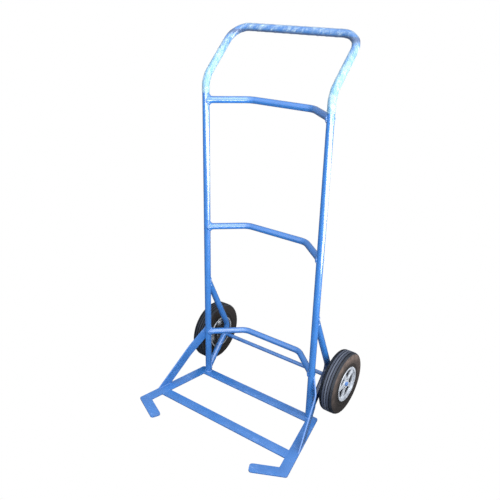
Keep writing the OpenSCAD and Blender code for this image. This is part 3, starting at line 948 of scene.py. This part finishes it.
def tubeWelds(sign):
    # closed beads: the stile's foot, the rungs, the axle brace with its tack, and the axle
    stile = Vector((sign * halfW, 0, 0))
    foot = [stile + Vector((tubeR * math.cos(a), tubeR * math.sin(a), barTop)) for a in circleAngles(64)]
    lines = [(foot, welds["tube"])]
    way = Vector((rungs["side"] * -sign, rungs["bow"], 0)).normalized()
    flaredR = rungR + rungs["flare"] * welds["flareShare"]
    lines += [(saddle(stile + z * up, way, way.cross(up), flaredR), welds["rung"])
              for z in rungHeights.values()]
    lean = math.radians(braces["lean"])
    legWay = Vector((0, math.cos(legSlope), math.sin(legSlope)))
    for z, way in ((braceTop, Vector((0, math.sin(lean), -math.cos(lean)))), (braces["foot"], legWay)):
        lines.append((saddle(stile + z * up, way, Vector((1, 0, 0)), braceR), welds["tube"]))
    tack = stile + Vector((welds["tackSide"], welds["tackBack"], welds["tackUp"]))
    ring = [tack + welds["tackRing"] * Vector((0, math.cos(a), math.sin(a))) for a in circleAngles(10)]
    lines.append((ring, welds["tack"]))
    spot = Vector((sign * halfW, axleY, axleZ)) - Vector((0, legWay.z, -legWay.y)) * axleR
    lines.append(([spot + welds["axleWide"] * math.cos(a) * Vector((1, 0, 0))
                   + welds["axleLong"] * math.sin(a) * legWay for a in circleAngles(28)], welds["axle"]))
    return lines


def plateWelds(sign):
    # open beads: the flat brace along the toe frame and up the stile, and the two cross bars' ends
    plan = flatPlans[sign]
    crease, topRun, topWay = plan
    lines = []
    for face in (-1, 1):
        foot = [flatPlace(plan, run, face * flat["thick"] / 2)
                for run in np.linspace(welds["footFrom"], flatFoot - welds["footTo"], 12) - flat["lower"]]
        lines.append(([Vector((sign * p.x, p.y, barTop)) for p in foot], welds["plate"]))
    edge = flatPlace(plan, topRun, -flat["thick"] / 2)
    back = Vector((halfW, 0)) - edge
    aside = back.dot(Vector((-topWay.y, topWay.x)))
    meet = edge + topWay * (back.dot(topWay) - math.sqrt(max(tubeR ** 2 - aside ** 2, 0)))
    top = creaseTop + (meet - crease).dot(topWay) * math.tan(flatTopSlope)
    heights = np.linspace(top - flatRise + welds["topEnd"], top - welds["topEnd"], 12)
    lines.append(([Vector((sign * meet.x, meet.y, z)) for z in heights], welds["tube"]))
    for y in (toe["back"], toe["back"] - toe["frontBar"]):
        ends = [Vector((sign * innerX(v), v, barTop - welds["butt"] * welds["buttSunk"]))
                for v in (y - welds["buttEnd"], y - toe["width"] + welds["buttEnd"])]
        lines.append(([ends[0].lerp(ends[1], k / 8) for k in range(9)], welds["butt"]))
    return lines


def weldPiece():
    curve = bpy.data.curves.new("welds", "CURVE")
    curve.dimensions = "3D"
    for lines, cyclic in ((tubeWelds, True), (plateWelds, False)):
        for sign in bothSides.values():
            for points, size in lines(sign):
                addLine(curve, points, size, cyclic)
    mesh = grow(curve, weldBead, Material=weldPaint, Seed=welds["seed"])
    return addPiece("weldBeads", mesh, weldPaint, "frame", [], sharp=60)


weldPiece()
print("welds laid")

# film on the handle

wrap = {
    "leftStart": 0.026, "rightStart": 0.018,  # above the upper rung
    "skin": 0.00025, "thick": 0.0005, "step": 0.0008, "pitch": 0.034, "endFade": 0.006,
    "wrinkle": 0.0006, "wrinkles": 14, "gap": (0.006, 0.024), "lean": (0.5, 1.6), "sides": 48, "seed": 5,
}


def filmPiece():
    z = rungHeights["upper"]
    path = evenPath(framePath(z + wrap["leftStart"], z + wrap["rightStart"]), tube["step"])
    rings, run = sweep(path, tubeR, wrap["sides"])
    rings = np.array(rings)
    centres = np.array([tuple(p) for p in path])[:, None]
    out = rings - centres
    out /= np.linalg.norm(out, axis=-1, keepdims=True)
    angle = np.arange(wrap["sides"])[None] * 2 * math.pi / wrap["sides"]
    s = run[:, None]
    turns = s / wrap["pitch"] + angle / (2 * math.pi)
    lap = turns % 1.0
    rng = np.random.default_rng(wrap["seed"])
    ridges = np.zeros_like(lap)
    for _ in range(wrap["wrinkles"]):  # slanting gathers of the film, at odd spacings
        gap, lean, phase = rng.uniform(*wrap["gap"]), rng.uniform(*wrap["lean"]), rng.uniform(0, 6.28)
        ridges += np.sin(2 * math.pi * s / gap + lean * angle * rng.integers(1, 3) + phase)
    height = wrap["thick"] + wrap["step"] * (1 - lap) ** 3 + wrap["wrinkle"] * np.clip(ridges / 6, 0, 1)
    ends = np.clip(np.minimum(s, run[-1] - s) / wrap["endFade"], 0, 1)
    rings = centres + out * (tubeR + (wrap["skin"] + height * ends))[..., None]
    mesh = gridMesh("handleFilm", rings, lengths=run)
    return addPiece("handleFilm", mesh, clearFilm, "frame", ["handle_film"], sharp=50)


filmPiece()
print("handle wrapped")

# axle, washers, bushes and split pins

fittings = {
    "rodEdge": 0.0015, "washerEdge": 0.0005, "washerGap": 0.0003,
    "flange": 0.002, "barrel": 0.011, "bushEdge": 0.0004, "bushGap": 0.00005,
    "pin": 0.0016, "eye": 0.0035, "legs": 0.55,  # the legs' distance, as a share of the wire's thickness
    "above": 0.0035, "endSpread": 0.0065, "endDrop": 0.0028, "endBend": 0.0012,
}


def roundRod(low, high, outer, cut):
    return [(low, outer - cut), (low + cut, outer), (high - cut, outer), (high, outer - cut)]


def washerRing(low, high, outer, inner, cut):
    return [(low + cut, outer), (high - cut, outer), (high, outer - cut), (high, inner + cut / 2),
            (high - cut / 2, inner), (low + cut / 2, inner), (low, inner + cut / 2), (low, outer - cut)]


def bushRing(low, high, out):
    # barrel with a flange at the end that faces out, +1 or -1
    tip, root = (high.x, low.x) if out > 0 else (low.x, high.x)
    flange = tip - out * fittings["flange"]
    wide, cut = (high.z - low.z) / 2, fittings["bushEdge"]
    bore, barrel = axleR + fittings["bushGap"], fittings["barrel"]
    return [(tip, wide - cut), (tip - out * cut, wide), (flange, wide), (flange, barrel),
            (root + out * cut, barrel), (root, barrel - cut), (root, axleR + cut), (root + out * cut, bore),
            (tip - out * cut, bore), (tip, axleR + cut)]


rod = roundRod(axleLow.x, axleHigh.x, axleR, fittings["rodEdge"])
addPiece("axleRod", turned("axleRod", rod, closed=False, sides=64), barPaint, "frame", ["axle"])
for side, sign in bothSides.items():
    for place in ("inner", "outer"):
        low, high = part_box(f"{side}_{place}_washer")
        ring = washerRing(low.x, high.x, (high.z - low.z) / 2, axleR + fittings["washerGap"],
                          fittings["washerEdge"])
        addPiece(f"{side}{place.title()}Washer", turned("washer", ring, sides=96), zincSteel, "frame",
                 [f"{side}_{place}_washer"])
        ring = bushRing(*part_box(f"{side}_{place}_bush"), sign if place == "outer" else -sign)
        addPiece(f"{side}{place.title()}Bush", turned("bush", ring, sides=96), bushPlastic, f"{side}_wheel",
                 [f"{side}_{place}_bush"])


def splitPin(x):
    # two legs side by side, an eye on top and the ends bent apart
    r, eye = fittings["pin"] / 2, fittings["eye"]
    half = axleR + fittings["above"]
    meshes = []
    for sign in (-1, 1):
        y = sign * fittings["legs"] * r
        leg = [(x, y, half), (x, y, -half), (x, sign * fittings["endSpread"], -half - fittings["endDrop"])]
        path = [Vector(p) + Vector((0, axleY, axleZ)) for p in bentPath(leg, [fittings["endBend"]])]
        rings, run = sweep(path, r, 12)
        meshes.append(gridMesh("leg", rings, lengths=run))
    loop = [Vector((x, axleY + eye * math.sin(a), axleZ + half + eye - eye * math.cos(a)))
            for a in circleAngles(40)]
    rings, _ = sweep(loop, r, 12, closed=True)
    meshes.append(gridMesh("eye", rings, closed=True))
    return joinMeshes("splitPin", meshes)


for side in bothSides:
    low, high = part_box(f"{side}_split_pin")
    pin = splitPin((low.x + high.x) / 2)
    addPiece(f"{side}SplitPin", pin, zincSteel, "frame", [f"{side}_split_pin"], sharp=60)
print("axle fittings made")

# tyres

tyre = {
    # section points: in from the bead or the side, and up from the rim's lip or the tread
    "bead": ((-0.002, -0.0044), (-0.0002, -0.002), (0, 0.0012), (-0.001, 0.003)),
    "wall": ((-0.0022, 0.0055), (-0.0014, 0.0100), (-0.0006, 0.0130), (0.0003, 0.0140), (0.0003, 0.0158),
             (-0.0004, 0.0168), (0, 0.026)),
    "edge": ((-0.0002, -0.016), (-0.0010, -0.0115), (-0.0003, -0.0105), (-0.0004, -0.0085)),
    "beadGap": 0.0002, "shoulder": 0.0075, "shoulderIn": 0.0005, "crown": 0.0012,
    "grooves": (0.0165, 0.0055), "groove": 0.0036, "grooveDepth": 0.0048, "grooveEdge": 0.0005,
    "grooveFloor": 0.8, "middle": (0.0006, 0.0003), "sides": 192,
}
lipThick = 0.003  # of the rim, beside the tyre's bead


def tyreProfile():
    # right half of the section from the bead out to the tread's middle, then mirrored
    bead = rimHalf - lipThick - tyre["beadGap"]
    right = [(bead + x, lipR + r) for x, r in tyre["bead"]]
    right += [(tyreHalf + x, lipR + r) for x, r in tyre["wall"]]
    right += [(tyreHalf + x, wheelR + r) for x, r in tyre["edge"]]
    centre = (tyreHalf - tyre["shoulderIn"] - tyre["shoulder"], wheelR - tyre["crown"] - tyre["shoulder"])
    right += arc(centre, tyre["shoulder"], 8, 84, 7)
    half, edge = tyre["groove"] / 2, tyre["grooveEdge"]
    for row in tyre["grooves"]:
        r = wheelR - tyre["crown"] * (row / tyreHalf) ** 2
        outer = [(half + edge, r), (half, r - edge), (half * tyre["grooveFloor"], r - tyre["grooveDepth"])]
        right += [(row + x, r) for x, r in outer] + [(row - x, r) for x, r in outer[::-1]]
    right += [(x, wheelR) for x in tyre["middle"]]
    return right + [(-x, r) for x, r in reversed(right)]


for side, sign in bothSides.items():
    addPiece(f"{side}Tyre", turned("tyre", tyreProfile(), sign * wheelMid, tyre["sides"]), tyreRubber,
             f"{side}_wheel", [f"{side}_tyre"], sharp=40)

# hubs

hubs = {
    "spokes": 5, "spoke": 0.017, "webThick": 0.010, "webSunk": 0.006, "barrel": 0.005, "edge": 0.0012,
    "windowIn": 0.0258, "windowOut": 0.0570, "windowCorner": 0.004, "windowRoot": 0.003, "overlap": 0.002,
    "ribThick": 0.006, "ribDeep": 0.020, "ribEnd": 0.7, "ribRoot": 0.003, "ribEdge": 0.0012,
    "lipDeep": 0.0044, "lipEdge": 0.0009, "lipStep": 0.0012, "lipIn": 0.001, "draft": 0.0012,
    "bossR": 0.018, "boreR": 0.011, "wellR": 0.017,
    "bossEdge": 0.0012, "bossFlare": 0.004, "bossSunk": 0.0095,
    "waist": -0.004, "waistEnd": 0.003,  # the barrel's inside, from the wheel's middle and from the web
    "leftTurn": 30.0, "rightTurn": 71.5,
}
barrelR = lipR - hubs["lipDeep"] - hubs["barrel"]
webOut = rimHalf - hubs["webSunk"]  # from the wheel's middle plane
webIn = webOut - hubs["webThick"]


def windowOutline(turn):
    half, gap = math.pi / hubs["spokes"], hubs["spoke"] / 2
    inner, outer = hubs["windowIn"], hubs["windowOut"]
    low, high = half - math.asin(gap / inner), half - math.asin(gap / outer)
    corners = [(inner * math.cos(low), inner * math.sin(low))]
    spread = [high * (1 - k / 4) for k in range(9)]
    corners += [(outer * math.cos(a), outer * math.sin(a)) for a in spread]
    corners += [(inner * math.cos(low), -inner * math.sin(low))]
    radii = [hubs["windowRoot"], hubs["windowCorner"]] + [0] * 7 + [hubs["windowCorner"], hubs["windowRoot"]]
    cos, sin = math.cos(turn), math.sin(turn)
    return [(p[0] * cos - p[1] * sin, p[0] * sin + p[1] * cos) for p in roundedOutline(corners, radii, 5)]


def webMesh(turn):
    # flat plate with a hole in the middle and the windows, rounded along every edge
    curve = bpy.data.curves.new("web", "CURVE")
    curve.dimensions = "2D"
    curve.fill_mode = "BOTH"
    outlines = [[(r * math.cos(a), r * math.sin(a)) for a in (2 * math.pi * k / 96 for k in range(96))]
                for r in (barrelR + hubs["overlap"], hubs["wellR"])]
    outlines += [windowOutline(turn + k * 2 * math.pi / hubs["spokes"]) for k in range(hubs["spokes"])]
    for outline in outlines:
        addLine(curve, [(x, y, 0) for x, y in outline])
    curve.extrude = hubs["webThick"] / 2 - hubs["edge"]
    curve.bevel_depth = hubs["edge"]
    curve.bevel_resolution = 2
    curve.offset = -hubs["edge"]
    mesh = evaluated(intoScene(bpy.data.objects.new("web", curve)))
    # the curve's plane stands across the axle
    middle = webOut - hubs["webThick"] / 2
    mesh.transform(Matrix(((0, 0, 1, middle), (1, 0, 0, 0), (0, 1, 0, 0), (0, 0, 0, 1))))
    return outwards(mesh)


def ribMesh(turn):
    # one rib behind each spoke, deeper at the boss
    x0 = webIn + hubs["overlap"]
    root, end, thick = hubs["bossR"] - hubs["ribRoot"], barrelR + hubs["overlap"], hubs["ribThick"]
    deep = hubs["ribDeep"]
    outline = [(x0, root), (x0, end), (x0 - deep * hubs["ribEnd"], end), (x0 - deep, root)]
    rib = plateMesh("rib", outline, thick, hubs["ribEdge"])
    rib.transform(Matrix.Translation((0, 0, -thick / 2)))
    return grow(rib, setRound, Count=hubs["spokes"], Start=turn + math.pi / hubs["spokes"], Material=castHub)


def rimProfile():
    # each half from the barrel's mouth over the rounded lip and down to the tyre's seat
    lipIn, halves = lipR - hubs["lipDeep"], []
    for sign, angles in ((1, (-10, 100)), (-1, (190, 80))):
        face, seat = sign * rimHalf, sign * (rimHalf - lipThick)
        mouth = [(face, lipIn - hubs["lipIn"]), (sign * (rimHalf - hubs["lipEdge"]), barrelR + hubs["draft"])]
        lip = arc((sign * (rimHalf - lipThick / 2), lipR - lipThick / 2), lipThick / 2, *angles)
        halves.append(mouth[::-1] + lip + [(seat, lipR - hubs["lipStep"]), (seat, lipIn)])
    return halves[0] + halves[1][::-1] + [(hubs["waist"], barrelR), (webIn - hubs["waistEnd"], barrelR)]


def bossProfile():
    low, high = hubLow.x - wheelMid + fittings["flange"], rimHalf - hubs["bossSunk"] - fittings["flange"]
    r, edge, flare = hubs["bossR"], hubs["bossEdge"], hubs["bossFlare"]
    return [(low, r - edge), (low + edge, r), (webIn - flare, r), (webIn - flare * 0.35, r + flare * 0.3),
            (webIn + 0.001, r + flare), (high, r + flare), (high, hubs["boreR"]), (low, hubs["boreR"])]


def hubMesh(turn):
    meshes = [turned("barrel", rimProfile()), turned("boss", bossProfile(), sides=96)]
    for mesh in (webMesh(turn), ribMesh(turn)):
        mesh.transform(Matrix.Translation((0, axleY, axleZ)))
        meshes.append(mesh)
    return joinMeshes("hub", meshes)


for side, sign in bothSides.items():
    mesh = hubMesh(math.radians(hubs[side + "Turn"]))
    mesh.transform(Matrix.Translation((wheelMid, 0, 0)))
    addPiece(f"{side}Hub", mirrored(mesh) if sign < 0 else mesh, castHub, f"{side}_wheel", [f"{side}_hub"],
             sharp=35)
print("wheels made")

# floor and light

studio = {
    "floor": 16.0, "ground": (0.05, 0.06, 0.08, 1),
    "sky": (0.94, 0.97, 1.0, 1), "sunWay": (0.66, -0.5, 0.56), "sunSide": 3.5, "darkSide": 0.35,
}
sunlit = (1.0, 0.98, 0.96)
lights = {
    # place, aim, size, power, colour
    "over": ((0.9, -0.9, 3.4), (0, 0, 0.5), (1.4, 1.4), 22, (1.0, 1.0, 1.0)),
    # sunlit ground beyond the shade, from the front round to the right
    "sunFront": ((4.6, -4.9, 0.004), (4.6, -4.9, 1), (4.8, 8.2), 1600, sunlit),
    "sunRight": ((3.8, 1.1, 0.004), (3.8, 1.1, 1), (4.5, 3.8), 700, sunlit),
    "sunFar": ((1.6, -8.0, 0.004), (1.6, -8.0, 1), (1.2, 3.0), 145, sunlit),
}


def whiteToCamera(tree, output, shade, white):
    # the camera sees plain white, everything else the shade
    seen = addNode(tree, "ShaderNodeLightPath").outputs["Is Camera Ray"]
    whiteShade = addNode(tree, white, {"Color": (1, 1, 1, 1), "Strength": 1.0}).outputs[0]
    mixed = addNode(tree, "ShaderNodeMixShader", {0: seen, 1: shade, 2: whiteShade}).outputs[0]
    tree.links.new(mixed, next(n for n in tree.nodes if n.type == output).inputs["Surface"])


def makeStudio():
    made = bmesh.new()
    bmesh.ops.create_grid(made, x_segments=8, y_segments=8, size=studio["floor"] / 2)
    mesh = bpy.data.meshes.new("floor")
    made.to_mesh(mesh)
    made.free()
    floor = intoScene(bpy.data.objects.new("floor", mesh))
    mat, tree, shader = newMaterial("paleFloor", **{"Base Color": studio["ground"]})
    whiteToCamera(tree, "OUTPUT_MATERIAL", shader.outputs[0], "ShaderNodeEmission")
    mesh.materials.append(mat)

    world = bpy.data.worlds.new("studio")
    bpy.context.scene.world = world
    world.use_nodes = True
    tree = world.node_tree
    soft = next(n for n in tree.nodes if n.type == "BACKGROUND")
    way = addNode(tree, "ShaderNodeTexCoord").outputs["Generated"]
    toSun = addNode(tree, "ShaderNodeVectorMath", {0: way, 1: studio["sunWay"]},
                    operation="DOT_PRODUCT").outputs[1]
    glow = calc(tree, "MULTIPLY_ADD", calc(tree, "POWER", ramp(tree, toSun, -0.5, 1.0), 1.5),
                studio["sunSide"] - studio["darkSide"], studio["darkSide"])
    setInput(tree, soft.inputs["Color"], studio["sky"])
    setInput(tree, soft.inputs["Strength"], glow)
    whiteToCamera(tree, "OUTPUT_WORLD", soft.outputs[0], "ShaderNodeBackground")

    for name, (place, aim, size, power, colour) in lights.items():
        data = bpy.data.lights.new(name, "AREA")
        data.shape, data.size, data.size_y = "RECTANGLE", *size
        data.energy, data.color = power, colour
        lamp = intoScene(bpy.data.objects.new(name, data))
        lamp.location = place
        lamp.rotation_euler = (Vector(aim) - Vector(place)).to_track_quat("-Z", "Y").to_euler()


makeStudio()
bpy.context.scene.view_settings.view_transform = "Standard"
print("studio lit")
